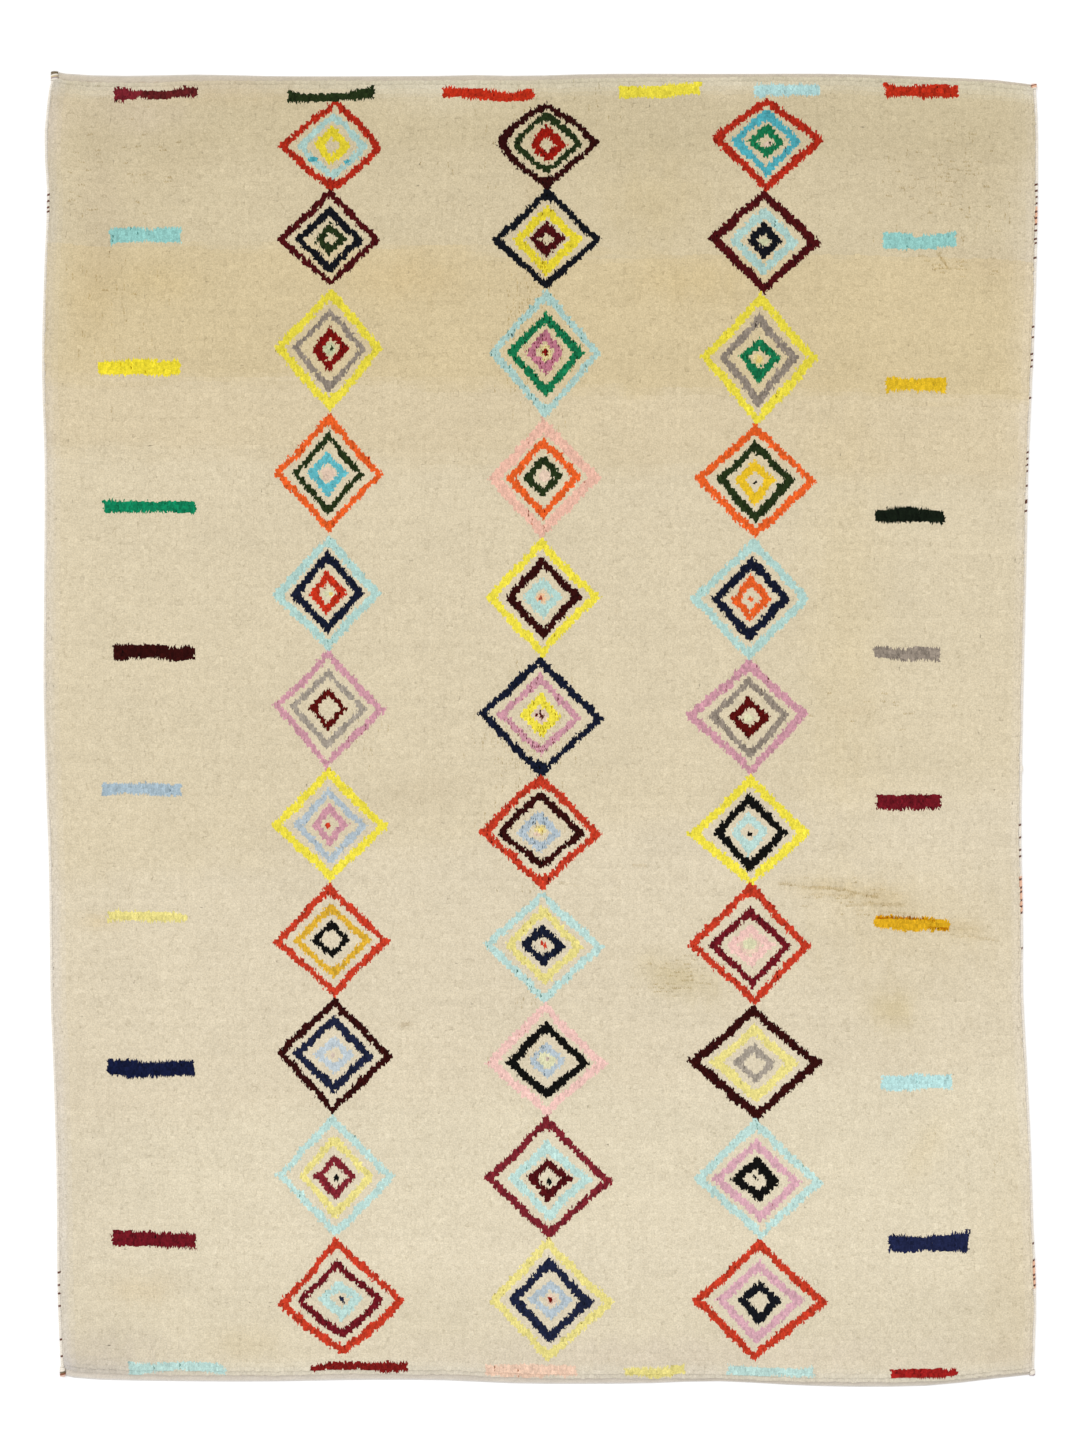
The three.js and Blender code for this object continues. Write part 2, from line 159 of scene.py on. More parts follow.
# The three columns of lozenges: the middle, the yarns of the nested rings, how far the outer ring's left,
# right, top and bottom points lie off the middle lines, and how much thicker its line is at its top and
# bottom. Then, for each ring, its reach left, right, up and down and the thickness of its line, and where
# the sides aren't straight, how round the four quarters are, by rows from the upper left.
LOZENGES = (
    (-52.75, 145.75, "brick aqua sun", (0, -0.5, 1.5, 0.75), (-0.4, 0.7), (12.5, 12.75, 11.25, 11, 1.6),
     (7.75, 9, 8.25, 8, 1.5), (3.5, 5.25, 4.75, 4, 1.8), (0.1, 0.2, 0.06, 0.15)),
    (-53, 122.5, "wine ink green", (0, 0, 0.5, 0.75), (0.1, -0.1), (12.75, 13, 12.25, 11.5, 1.6),
     (8.25, 8.75, 8.25, 8.5, 1.8), (3.25, 4.5, 4.25, 3.75, 1.7)),
    (-53, 95.25, "yellow grey ruby", (0.25, -0.25, 0.75, 0.5), (0.2, 0.8), (13.25, 13.5, 14.75, 15.5, 1.9),
     (8.75, 9.25, 9.5, 10.75, 1.3), (3.75, 5.25, 5.25, 5.75, 1.8), (0, 0.03, 0.04, 0)),
    (-53, 64.5, "orange green lagoon", (-0.25, -1, 0.5, 0), (0.5, 0.3), (13.5, 13.75, 14.75, 15.25, 1.7),
     (9, 8.75, 10, 11, 1.5), (5.25, 4.75, 4.75, 6.5, 1.9), (-0.04, -0.06, -0.02, -0.06)),
    (-53.5, 34, "aqua navy red", (-0.5, 0, 0.5, 0.5), (-0.1, -0.4), (13.25, 13.5, 14.5, 14, 2),
     (8.75, 9.5, 10.5, 9.75, 1.9), (4, 5, 5.5, 5.25, 1.8)),
    (-53, 5.25, "orchid ash crimson", (0.75, -0.25, 0, -0.5), (-0.2, -0.5), (13.5, 14.25, 14.5, 14.75, 1.7),
     (9.5, 9.5, 9.75, 10, 1.4), (4.75, 4.5, 5, 5.5, 1.4), (-0.05, -0.03, 0, 0)),
    (-52.5, -23.75, "yellow powder orchid", (-0.25, -0.5, -0.5, 0), (0, -0.2), (14.5, 14.5, 14.25, 14.25, 2),
     (9, 9.25, 9, 10, 1.7), (4.5, 4.5, 5.25, 5.5, 1.7), (-0.03, -0.03, -0.03, -0.03)),
    (-52, -52.5, "tomato mustard black", (-1, -0.5, -0.5, 0.5), (0.6, 0.2), (14.5, 14.5, 14, 14.25, 1.8),
     (9.5, 9.75, 9, 9.75, 1.7), (5, 4.25, 4.75, 4.5, 1.4), (0, -0.05, -0.06, -0.03)),
    (-51.25, -81.5, "aubergine indigo haze", (0.75, -0.5, -0.25, -0.75), (-0.2, -0.5),
     (14.75, 14.5, 14.5, 14.5, 1.8), (10.5, 9.5, 10, 9.5, 2), (5.25, 4.75, 4.5, 4.25, 1.8),
     (-0.02, -0.02, -0.02, -0.02)),
    (-51.25, -111.5, "mint lemon claret", (0, -0.25, -0.75, 0), (0.2, -0.1), (14.75, 14.75, 15, 15.25, 1.8),
     (9, 9.5, 10, 10.75, 1.8), (5, 4.75, 4.75, 5.75, 1.6), (-0.02, -0.02, -0.02, 0.05)),
    (-49.75, -141.75, "tomato burgundy mint", (-2, -1, -1.5, 0.25), (0.4, -0.2),
     (15.75, 15.75, 14.5, 14.25, 1.8), (11.25, 10.25, 9, 10.25, 1.7), (5.75, 5.25, 3.75, 5.75, 2.1),
     (-0.05, -0.02, 0.07, 0.15)),
    (2, 145.75, "aubergine green scarlet", (0.5, 0.75, 0, 0), (-0.4, 0.7), (12.5, 12.75, 10.5, 10.5, 1.5),
     (8.5, 8.5, 8, 6.75, 1.4), (4, 4.5, 5, 3.75, 2), (0.36, 0.15, 0.18, -0.02)),
    (1.5, 123, "ink sun wine", (-0.5, -0.5, 0.5, 0), (0.4, 0.4), (13.5, 13.75, 12.5, 12.75, 1.7),
     (8.25, 8.75, 8, 9.25, 2), (4, 4.75, 4, 4.75, 2), (-0.05, -0.05, 0, 0)),
    (1.25, 94.25, "aqua emerald plum", (0, -0.25, 0.25, 0.25), (0.5, 0.4), (13.75, 13.75, 15.75, 16.25, 1.7),
     (9.25, 9.75, 10, 11, 1.9), (4.75, 4.5, 5.75, 5.25, 1.8)),
    (1, 63, "salmon orange green", (-0.5, 0, 0, -0.5), (0.5, -0.3), (13.75, 14, 14.75, 15, 2.4),
     (9.5, 9.25, 10, 10.25, 1.8), (5.25, 4.5, 5.5, 4.75, 1.7)),
    (1, 33.25, "yellow aubergine aqua", (-0.25, -0.25, -0.5, -0.5), (-0.1, -0.4),
     (14.5, 14.25, 14.5, 15, 2.1), (9.5, 9.5, 10, 10.5, 1.9), (5.5, 4.5, 4.75, 5.25, 2.1),
     (0, -0.05, 0, -0.06)),
    (0.25, 3.25, "navy orchid yellow", (0.75, -0.75, -0.25, 0), (-0.1, 1.1),
     (15.75, 15.75, 14.75, 15.25, 1.8), (11, 10, 10.25, 9.75, 1.7), (5.25, 4.75, 5.75, 5, 2.1),
     (0, 0, 0, -0.05)),
    (0, -26, "tomato aubergine powder", (0, -0.5, 0, 0.5), (0.5, 0.8), (15, 15.25, 14.5, 14, 1.8),
     (10.75, 11.25, 10.25, 9, 1.7), (5.75, 5.25, 5.25, 4.75, 1.8), (0.08, 0.07, -0.04, -0.04)),
    (1, -54.25, "mint lemon navy", (0.5, -0.25, -0.5, 0), (-0.7, -0.2), (15, 15, 13.5, 14, 1.8),
     (9.75, 9.75, 10, 9.5, 1.8), (6, 5.5, 5.25, 4.75, 1.9)),
    (2, -82.5, "pink black powder", (-1, -1.25, -0.75, -0.25), (-0.3, -0.6), (15.5, 15, 14.25, 14, 2.1),
     (10.5, 10.5, 9.5, 10, 1.9), (4.75, 4.25, 4.25, 4.75, 1.4), (0, -0.04, 0, -0.04)),
    (2, -112, "claret mint wine", (0, -1, -0.25, 0), (0.7, 0.6), (16, 16.5, 15.5, 15.5, 1.9),
     (10.25, 11, 9, 10.75, 2.1), (5.5, 6, 4.5, 6, 1.9), (-0.07, -0.07, -0.03, -0.04)),
    (3, -142.5, "lemon indigo powder", (-0.25, -0.75, -1, -1), (-0.2, 0.2), (15.5, 15.5, 15, 15.5, 2),
     (10.75, 10.25, 10.25, 10.75, 2.1), (6, 4.75, 4.75, 5, 1.75), (0, -0.05, 0, 0)),
    (57, 146.25, "brick sky emerald", (1.75, 1, -0.25, -0.5), (-0.5, 0.2), (14.25, 14, 11.25, 11.75, 1.9),
     (9, 8, 8.5, 7.75, 1.8), (5, 3.75, 5, 3, 1.7), (0.05, 0.05, -0.03, 0)),
    (56, 122, "wine aqua ink", (1, -0.5, 0, 0.5), (-0.2, -0.3), (13.75, 14.25, 12.75, 13, 2.2),
     (8.5, 8.5, 8.5, 8.5, 2), (4.25, 4.5, 4.75, 4.25, 1.9), (0.02, 0.05, 0.05, -0.07)),
    (54.5, 93.25, "yellow grey emerald", (0, -0.5, 0.75, -0.25), (0.4, -0.4), (14.5, 15, 16, 17, 2.1),
     (9.5, 10, 10.75, 12.5, 1.9), (4.5, 5.75, 4.75, 6.25, 1.9), (-0.05, -0.05, -0.03, 0)),
    (53.5, 62.5, "orange green gold", (0.5, -0.25, 0.5, 0.5), (0.1, -0.3), (14.75, 15.5, 14, 14.5, 1.9),
     (9.25, 10, 9.75, 10.75, 1.9), (4.5, 5.25, 4.75, 6.5, 2), (-0.05, -0.03, 0.04, 0.03)),
    (52.5, 32.5, "aqua navy orange", (0.25, 0.25, 1, -0.25), (0.5, 0.3), (14.75, 15, 15, 15, 2),
     (9.5, 10, 10.5, 10.5, 2.1), (4.25, 5.5, 6, 5.25, 1.8)),
    (52, 3, "orchid grey crimson", (0.5, 1, 0.5, 0.75), (0.6, -0.6), (15.75, 15, 14.5, 14.5, 2),
     (9.75, 10.25, 10, 10.25, 1.65), (4.75, 5.25, 5, 5.25, 1.85), (-0.05, -0.05, -0.03, 0.01)),
    (52, -25.25, "yellow black mint", (-1, -0.75, 0.5, 0.75), (0.1, -0.9), (15, 15.25, 14, 13.75, 2.2),
     (8.5, 9.75, 9.25, 10.25, 1.9), (4.25, 5, 4.5, 6, 1.9), (-0.05, 0, -0.01, 0.03)),
    (52.25, -53.75, "tomato burgundy pink", (-0.5, -0.5, 0.5, 1.25), (0.5, 0),
     (15.25, 15.5, 15.25, 15.25, 1.8), (10, 10.75, 9.25, 11, 1.9), (5.5, 6, 4.75, 5.5, 1.8),
     (0.03, -0.03, -0.05, -0.02)),
    (53.75, -83.5, "aubergine lemon ash", (0.5, 0.25, -0.5, 0.75), (0.4, 0.2), (16.75, 17, 14.5, 14.25, 2.2),
     (11.25, 11, 9.5, 9.75, 2.2), (5.75, 5, 4.75, 4.75, 1.6), (-0.05, -0.04, 0.03, -0.03)),
    (54.5, -112.75, "mint rosy black", (0.5, -0.75, -0.5, 0.75), (0.4, -0.5), (16, 16, 15.25, 14.5, 2),
     (11.5, 10.75, 10, 10.25, 1.9), (6.5, 5.5, 5.75, 5.25, 2.15)),
    (55, -142.25, "tomato rosy ink", (-0.75, -1, -0.25, -1.5), (0.3, -0.3), (17, 17, 15, 15.5, 2),
     (11, 11, 9.5, 11.25, 2), (5.25, 5.5, 4.25, 6.75, 1.95), (-0.05, -0.05, -0.02, -0.02)),
)

# Small spots in the lozenges' hearts, and one by a bar: the middle, half the width and height, the yarn, and
# for some a turn in degrees
SPOTS = (
    (-52.7, 95.25, 1.7, 1.7, "sage"), (-52.2, 95.25, 0.4, 0.5, "green"), (-52.9, 63.9, 1.7, 1.7, "blush"),
    (-52.9, 33.85, 1.6, 0.9, "celery"), (-52.4, 33.9, 0.6, 0.4, "honey"),
    (-53.1, -24.15, 0.75, 0.7, "tomato"), (-51.65, -81.35, 0.6, 0.6, "dusk"),
    (-50.95, -112.2, 0.8, 0.75, "black"), (-49.5, -142.75, 0.45, 1, "indigo", 25),
    (1.35, 94.1, 1.5, 1.9, "straw"), (1.2, 94.35, 0.55, 0.55, "ruby"), (1.5, 93.85, 0.55, 0.4, "scarlet"),
    (1, 63.3, 1.5, 1.5, "blush"), (0.3, 32.85, 1.2, 1.2, "peach"), (0.35, 32.9, 0.5, 0.5, "clay"),
    (0.15, 3.25, 1.9, 1.8, "blush"), (-0.75, 3.7, 0.33, 0.6, "wine"), (0.05, 4.3, 0.33, 0.6, "wine"),
    (0.3, 3.1, 0.38, 0.5, "wine"), (0.2, -25.3, 1.4, 1.3, "straw"), (0.35, -25.1, 0.6, 0.6, "honey"),
    (-0.6, -26.4, 0.9, 0.8, "blush"), (0.5, -53.35, 0.35, 0.85, "tomato"),
    (1.35, -53.8, 0.35, 0.9, "tomato"), (1.9, -82.5, 2.2, 2.2, "celery"), (1.9, -82.5, 0.5, 0.6, "dusk"),
    (2.2, -113.1, 0.65, 0.7, "black"), (2.8, -142.6, 1.3, 1.4, "blush"), (2.5, -142.65, 0.4, 1, "ruby", 25),
    (57, 146.25, 1, 1, "blush"), (57.6, 146.6, 0.3, 0.35, "green"), (56, 121.9, 1.4, 1, "sage"),
    (54.7, 92.4, 1.5, 1.5, "straw"), (54.7, 92.5, 0.8, 0.8, "honey"), (53.9, 61.7, 0.35, 0.5, "black"),
    (52.7, 32.5, 0.65, 0.65, "orange"), (52, 2.9, 1.4, 1, "celery"), (52.3, -26.25, 0.65, 0.65, "black"),
    (52.4, -53.9, 2.8, 2.6, "blush"), (52.5, -53.8, 1.8, 1.4, "celery"),
    (54, -112.25, 0.42, 0.95, "black", 60), (-98.5, -161.4, 0.9, 0.4, "peach"),
)

# The bars along the four edges, and two small dashes in the first lozenge: the left and right ends, then the
# middle line and the thickness at evenly spaced places, and the yarn
BARS = (
    (-106.5, -99.5, (158.5, 158.7, 159), (3.4, 2.6, 1.9), "claret"),
    (-99.5, -85.5, (159, 158.5, 159.2, 159.5), (2, 2, 2.2, 2.3), "garnet"),
    (-63.25, -41.75, (158.25, 157.75, 158, 158.5, 159.25), (3, 2.25, 1.75, 2.25, 3), "green"),
    (-24.5, -1.5, (159.25, 159.1, 158.6, 158.1, 159), (2.75, 2.5, 2.5, 2.5, 2.5), "red"),
    (19.8, 40, (159.5, 159.25, 159.5, 160, 160.25), (3.25, 2.25, 2.9, 3, 3), "yellow"),
    (53.75, 70, (159.75, 159.75, 159.75, 160, 159.9), (3, 3, 2.8, 2.8, 2.6), "ice"),
    (86.25, 104.5, (159.7, 159.4, 159.4, 159.25, 159.25), (3.5, 2.5, 3.3, 3.2, 3), "red"),
    (-103, -78.75, (-159.6, -159.8, -158.9, -159.3, -160.1), (2.9, 2.1, 1.9, 2.25, 2.1), "mint"),
    (-57.5, -33, (-159.8, -159.1, -159.1, -159.5, -159.5), (1.6, 1.6, 1.6, 2.2, 2.1), "maroon"),
    (-13.75, 9, (-160.1, -160.3, -160.3, -160, -160.4), (2.1, 2.6, 3.2, 2.5, 2.7), "shell"),
    (21, 36.25, (-160.6, -160.5, -160.8, -160.6, -159.7), (1.5, 2, 2.25, 2.2, 2.1), "lemon"),
    (47, 68.5, (-160, -160.5, -160.6, -160.7, -160.6), (2.1, 2.5, 1.7, 1.6, 2.4), "mint"),
    (87.5, 104.5, (-161, -161.1, -161.2, -161, -160.75), (2.25, 2.2, 2.2, 2.2, 1.8), "cherry"),
    (-107.5, -89.5, (123.25, 123.5, 123.75, 123.75, 123.5), (4, 3.5, 3, 3.5, 4), "turquoise"),
    (-110.5, -90, (90.2, 90.4, 90.5, 90.3, 90.5), (3.6, 3.6, 3.75, 4, 3.7), "canary"),
    (-109.25, -86.25, (55.75, 55.75, 55.75, 55.75, 55.5), (3.25, 2.75, 2.75, 2.75, 3.25), "jade"),
    (-106.75, -86.25, (19.5, 19.5, 19.5, 19, 19.25), (4, 3.7, 3.6, 3.25, 3.25), "aubergine"),
    (-109.75, -89.75, (-15.05, -14.75, -14.75, -14.95, -15), (3.4, 2.75, 2.9, 3, 2.75), "mist"),
    (-108.25, -88.25, (-46.75, -46.5, -46.75, -47, -47.25), (3, 2.5, 2.8, 2.4, 1.75), "lemon"),
    (-108.25, -86.5, (-84.5, -84.9, -85.05, -84.85, -84.85), (3.8, 4.3, 3.9, 3.8, 3.9), "marine"),
    (-107, -86.25, (-127, -127.4, -127.65, -127.9, -128), (3.6, 3.7, 3.7, 3.9, 3.9), "burgundy"),
    (85.75, 104, (122.15, 122.2, 121.45, 122.2, 122.6), (3.8, 4.15, 3.3, 3.6, 3.9), "turquoise"),
    (86.5, 101.5, (86.25, 86.25, 86.25, 86.25, 86), (3.5, 3.25, 3, 3.25, 3.75), "gold"),
    (83.75, 101, (53.25, 53.5, 53.7, 53.4, 52.7), (2.8, 4, 4, 3.4, 3.3), "pine"),
    (83.5, 100, (19.25, 19, 18.75, 19, 18.5), (2.6, 3, 3.1, 3.3, 3.3), "grey"),
    (84, 100.5, (-18.15, -18.25, -18.15, -18.25, -18.2), (3.6, 3.7, 3.75, 3.75, 3.1), "burgundy"),
    (83.75, 102.5, (-48, -48.5, -48.75, -48.5, -49.25), (2.7, 3.2, 3.45, 2.9, 2.6), "amber"),
    (85.25, 103, (-88.2, -88.5, -88.2, -88, -88), (3.9, 3.8, 4, 3.5, 3.9), "ice"),
    (87, 107.25, (-128.5, -128.6, -128.35, -128.4, -128.2), (4, 4.1, 3.9, 4.25, 5.4), "midnight"),
    (-58, -55.5, (142.5, 142.5), (1, 1), "sky"),
    (-49, -47.5, (142, 142), (1, 1), "sky"),
)

# Lots of undyed wool from the top end down, with painted shade in them that darkens the ground towards the
# top end: where each begins at the left and right sides, over how many knots it takes over, and its colour
LOTS_AND_PAINTED_SHADE = (
    (170, 170, 1, (206, 191, 157)), (144, 142, 10, (212, 197, 164)), (122, 116.5, 3, (214, 196, 157)),
    (88.5, 82.5, 5, (218, 202, 169)), (70, 62, 8, (220, 206, 176)), (-38, -14, 14, (223, 210, 183)),
    (-99, -84, 12, (226, 214, 187)), (-136, -138, 12, (223, 211, 184)),
)
LOT_SIDE = 120  # knots from the middle to where the two heights of that line are given

# Old stains and worn or cleaner patches: the middle, half the length and width, the tint, and for some a
# turn in degrees
BROWNISH = (0.89, 0.86, 0.75)
TAN = (0.94, 0.91, 0.84)
DULL = (0.95, 0.94, 0.93)
GREYED = (0.95, 0.94, 0.95)
WARM = (0.985, 0.97, 0.92)
YELLOWED = (0.97, 0.95, 0.9)
STAINS = (
    (34.5, -62, 10, 4.5, BROWNISH, -20), (73, -40, 13, 2.5, TAN, -8), (87, -43, 7, 4, TAN, -15),
    (106, -50, 6, 2.5, TAN, -10), (88, -70, 6, 5, BROWNISH, -30), (92, -50, 26, 14, (0.975, 0.955, 0.9)),
    (76, 28, 10, 55, WARM), (28, 132, 13, 11, (0.955, 0.935, 0.87)), (-1, 138, 3, 28, (0.97, 0.95, 0.93)),
    (78, 4.5, 6, 1.5, DULL, 5), (43, -115, 9, 2.5, DULL, -50), (96, -105, 9, 4, YELLOWED, 60),
    (102, 138, 16, 9, DULL), (112, 117, 10, 4, GREYED), (-93, 141, 13, 6, (0.965, 0.955, 0.94), 20),
    (-110, 130, 6, 20, (0.955, 0.945, 0.955)), (-96, 112, 10, 5, (0.97, 0.95, 0.89)),
    (-112, 108, 6, 10, YELLOWED), (-34, 113, 14, 6, (0.98, 0.95, 0.89)), (38, 112, 16, 5, (0.98, 0.96, 0.9)),
    (-30, -16, 12, 5, DULL, 10), (-110, -48, 5, 2, (0.98, 0.94, 0.85)), (-74, -154, 8, 4, YELLOWED),
    (-100, -140, 8, 4, (0.98, 0.95, 0.9)), (-107, 156, 18, 7, (1.02, 1.02, 1.07)),
    (-98, 153, 8, 6, (1.015, 1.01, 1.04)), (-80, 161, 20, 3.5, (0.97, 0.92, 0.87)),
    (-26, 158, 14, 4, (1.08, 1.1, 1.16)), (47, 160, 6, 4, (1.07, 1.07, 1.1)),
    (122, 105, 4.5, 42, (1.055, 1.08, 1.18)), (-122, 151, 3.5, 8, (1.06, 1.06, 1.13)),
    (-119, 161, 6, 2, (0.95, 0.94, 0.92)), (-121, 112, 3, 24, (1, 1.02, 1.07)),
    (118, -157, 12, 4, (0.96, 0.95, 0.95)), (-114, -118, 15, 40, (0.955, 0.95, 0.955)),
    (-112, -159, 18, 7, (0.88, 0.875, 0.93)), (122, -135, 13, 30, (0.955, 0.935, 0.9)),
    (30, -157, 70, 5, (0.97, 0.96, 1)), (0, -132, 90, 10, (1.01, 1.01, 1.02)),
    (-34, -74, 1.2, 0.8, (0.72, 0.68, 0.62)),
)

# Along the rim the wool is paler and cooler, over so many knots in, but the end rows are a little darker
# with painted shade
MARGINS = (
    ("left", 3, (1.01, 1.04, 1.17)), ("right", 3, (1.06, 1.07, 1.13)), ("top", 4.5, (1.1, 1.17, 1.33)),
    ("bottom", 4, (1.04, 1.07, 1.13)), ("top", 2, (0.95, 0.95, 0.95)), ("bottom", 1.6, (0.92, 0.92, 0.94)),
)

# Creases, along which the pile parts: their points, and how deep they are
CREASES = (
    (((60, -38.6), (67, -39.5), (74.75, -39.9)), 0.4), (((76, -40), (79.5, -41.25), (84.25, -42)), 0.45),
    (((67.25, -41.3), (78.5, -41.6)), 0.25), (((77.5, -44), (82.5, -43.75), (91, -44)), 0.2),
    (((77.5, -45.4), (82.5, -45.5)), 0.15), (((85, -45.8), (94, -46.2)), 0.25),
    (((84.5, -47.1), (88, -47.3), (92, -47.1), (98.5, -47.6)), 0.9), (((97.5, -49.5), (102, -49.8)), 0.8),
    (((104.5, -50.3), (109, -49.9)), 0.15), (((105, -52), (109, -52.2), (114.5, -52.8)), 0.2),
    (((99.3, 119), (101.8, 115.5)), 0.5), (((5, -38.5), (9.5, -39)), 0.2),
    (((23.5, -34), (26.5, -34.2)), 0.2),
)
CREASE_HALF = 0.24  # knots from a crease over which the pile is open
CREASE_ENDS = (0.5, 0.4)  # knots past its ends over which its lean and its gap fade
GAP_SHARES = (0.3, 1)  # how much of a gap each facet shows

# Old folds and worn places, where strokes of shadow run up the rug or across it between yarn ends: the
# middle, half the width and height, and the share of yarn ends that start a stroke
FOLDS = {
    "up": (
        (-2, 158, 3, 6, 0.12), (0, 150, 16, 12, 0.06), (1, 130, 4, 14, 0.15), (0.5, 115, 2.5, 6, 0.35),
        (-3, 107, 5, 5, 0.3), (0.5, 95, 7, 8, 0.5), (-4, 84, 4, 5, 0.2), (5, 73, 3, 6, 0.08),
        (-3, 70, 3, 6, 0.05), (0, 50, 3, 8, 0.1), (-5, 30, 3, 14, 0.06), (-4, 6, 4, 9, 0.3),
        (-3, -3, 9, 8, 0.5), (-2, -26, 7, 8, 0.4), (-2, -50, 4, 10, 0.08), (-3, -66, 3, 6, 0.25),
        (-1.5, -82, 2.5, 6, 0.3), (-4, -100, 3, 6, 0.12), (-44, 0, 4, 8, 0.12), (102, 133, 15, 12, 0.04),
        (-108, 105, 10, 14, 0.05), (112, -108, 6, 8, 0.05),
    ),
    "across": (
        (34, -62, 8, 4.5, 0.22), (78, -42, 12, 4, 0.05), (80, 5, 12, 4, 0.05), (103, 116, 8, 3, 0.12),
        (100, 137, 10, 8, 0.06), (-108, 140, 10, 20, 0.03),
    ),
}
DYED_SHADOWS = 0.008  # the share of dyed yarn ends that start one, wherever they are
SHADOW_DEPTHS = (0.5, 1.2)
UNDYED_SHADOW = 0.25  # how deep they are on the ground, as a share of those on dyed yarn

# Where turns of brown show along the side bindings, and where the cream turns to peach
BROWN_TURNS = {
    "left": (134, 132.5, 131, 129.5, -136, -139, -141.5, -144.5, -153, -157),
    "right": (
        136.5, 135, 133.5, 131.5, 129.5, 128, 126.5, 125, 123, 121.5, 118, 101, 98, 94, 92.5, 91, 83, 69.5,
        67.5, 66, 64.5, 61, 57, 54.5, -24, -27, -30.5, -32, -37.5, -39.5, -41, -43, -44.5, -46, -55, -129,
        -133, -134.5, -136.5, -138, -139.5,
    ),
}
BROWN_HALF = 0.27  # knots to either side of such a place that are brown
PEACH_TURNS = {"left": (), "right": ((126, 131), (-46.5, -37), (-140, -133))}
MEND_Y = -0.062
MEND_HALF = 0.008
MEND_EXTRA = 0.0018

rng = np.random.default_rng(SEED)


# Sums that several parts share

def between(low, high, share):
    return low + (high - low) * share


def smooth(share):
    share = np.clip(share, 0, 1)
    return share * share * (3 - 2 * share)


def linear(colour):
    """Scene-linear values of a colour in the usual steps from 0 to 255."""
    share = np.asarray(colour, float) / 255
    return np.where(share <= 0.04045, share / 12.92, ((share + 0.055) / 1.055) ** 2.4)


def turned(du, dv, turn):
    """How far places lie along and across a line that is turned by so many degrees."""
    cos, sin = math.cos(math.radians(turn)), math.sin(math.radians(turn))
    return du * cos + dv * sin, dv * cos - du * sin


def cloud(shape, high, wide):
    """Soft noise from -1 to 1 over the knots, with lumps so many knots high and wide."""
    coarse = rng.uniform(-1, 1, (int(shape[0] / high) + 3, int(shape[1] / wide) + 3))
    down = np.arange(shape[0])[:, None] / high
    across = np.arange(shape[1]) / wide
    row, column = down.astype(int), across.astype(int)
    share = smooth(across - column)
    upper, lower = (between(coarse[at, column], coarse[at, column + 1], share) for at in (row, row + 1))
    return between(upper, lower, smooth(down - row))


def noise(shape, *layers):
    """Layers of soft noise, each so strong, with lumps so many knots high and wide."""
    return sum(strength * cloud(shape, high, wide) for strength, high, wide in layers)


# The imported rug's outline

def node_points(name):
    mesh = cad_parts[name].data
    points = np.zeros(len(mesh.vertices) * 3)
    mesh.vertices.foreach_get("co", points)
    return points.reshape(-1, 3)


def rug_rim():
    """The four sides of the rug's foot, as points from left to right or from bottom to top."""
    points = node_points("rug")
    foot = points[(points[:, 2] < 1e-5) & (np.hypot(points[:, 0], points[:, 1]) > 0.5)]
    foot = np.unique(foot[:, :2].round(6), axis=0)
    foot = foot[np.argsort(np.arctan2(foot[:, 1], foot[:, 0]))]
    foot = np.roll(foot, -int(np.argmax(foot @ (-1, -1))), axis=0)
    corners = [0] + [int(np.argmax(foot @ way)) for way in ((1, -1), (1, 1), (-1, 1))] + [len(foot)]
    ring = np.vstack([foot, foot[:1]])
    bottom, right, top, left = (ring[a:b + 1] for a, b in zip(corners, corners[1:]))
    return {"bottom": bottom, "right": right, "top": top[::-1], "left": left[::-1]}


def side_x(side, y):
    return np.interp(y, rim[side][:, 1], rim[side][:, 0])


def end_y(end, x):
    return np.interp(x, rim[end][:, 0], rim[end][:, 1])


def band_line(end):
    """Where the flat-woven band at one end meets the pile, as points from left to right."""
    points = node_points("rug")
    flat = np.unique(points[np.abs(points[:, 2] - BASE_THICKNESS) < 1e-5].round(6), axis=0)
    inward = np.abs(flat[:, 1] - end_y(end, flat[:, 0]))
    line = flat[(inward > BASE_THICKNESS) & (inward < 0.1)]
    return line[np.argsort(line[:, 0])]


def band_y(end, x):
    return np.interp(x, bands[end][:, 0], bands[end][:, 1])


rim = rug_rim()
bands = {end: band_line(end) for end in ("bottom", "top")}


def across_rug(row_y, across):
    """Places on rows of such heights, at these shares of the way from left to right."""
    x = between(side_x("left", 0), side_x("right", 0), across)
    for _ in range(2):
        y = row_y(x)
        x = between(side_x("left", y), side_x("right", y), across)
    return x, y


# The pile's knots: where they are tied and in which yarn

def end_lattice():
    """Where the two yarn ends of each knot stand. Rows follow the bands, and columns follow the sides."""
    columns = 2 * round((side_x("right", 0) - side_x("left", 0)) / KNOT)
    rows = round((band_y("top", 0) - band_y("bottom", 0)) / KNOT)
    across, along = np.meshgrid((np.arange(columns) + 0.5) / columns, (np.arange(rows) + 0.5) / rows)
    return across_rug(lambda x: between(band_y("bottom", x), band_y("top", x), along), across)


def ring_depth(dx, dy, reaches, drift, bulges):
    """How many knots each place lies inside the outer edge of a ring, below 0 outside it."""
    left, right, top, bottom = (reach + POINT for reach in reaches)
    tips = ((drift[2], top), (drift[3], -bottom))
    sides = ((-left, drift[0]), (right, drift[1]))
    depth = np.full(dx.shape, -9.0)
    for (tip, side), bulge in zip(product(tips, sides), bulges):
        det = side[0] * tip[1] - side[1] * tip[0]
        p = (dx * tip[1] - dy * tip[0]) / det
        q = (side[0] * dy - side[1] * dx) / det
        here = (p >= 0) & (q >= 0)
        power = 1 + bulge
        out = (np.clip(p, 0, None) ** power + np.clip(q, 0, None) ** power) ** (1 / power)
        deep = abs(det) / math.hypot(side[0] - tip[0], side[1] - tip[1])
        depth[here] = ((1 - out) * deep)[here]
    return depth


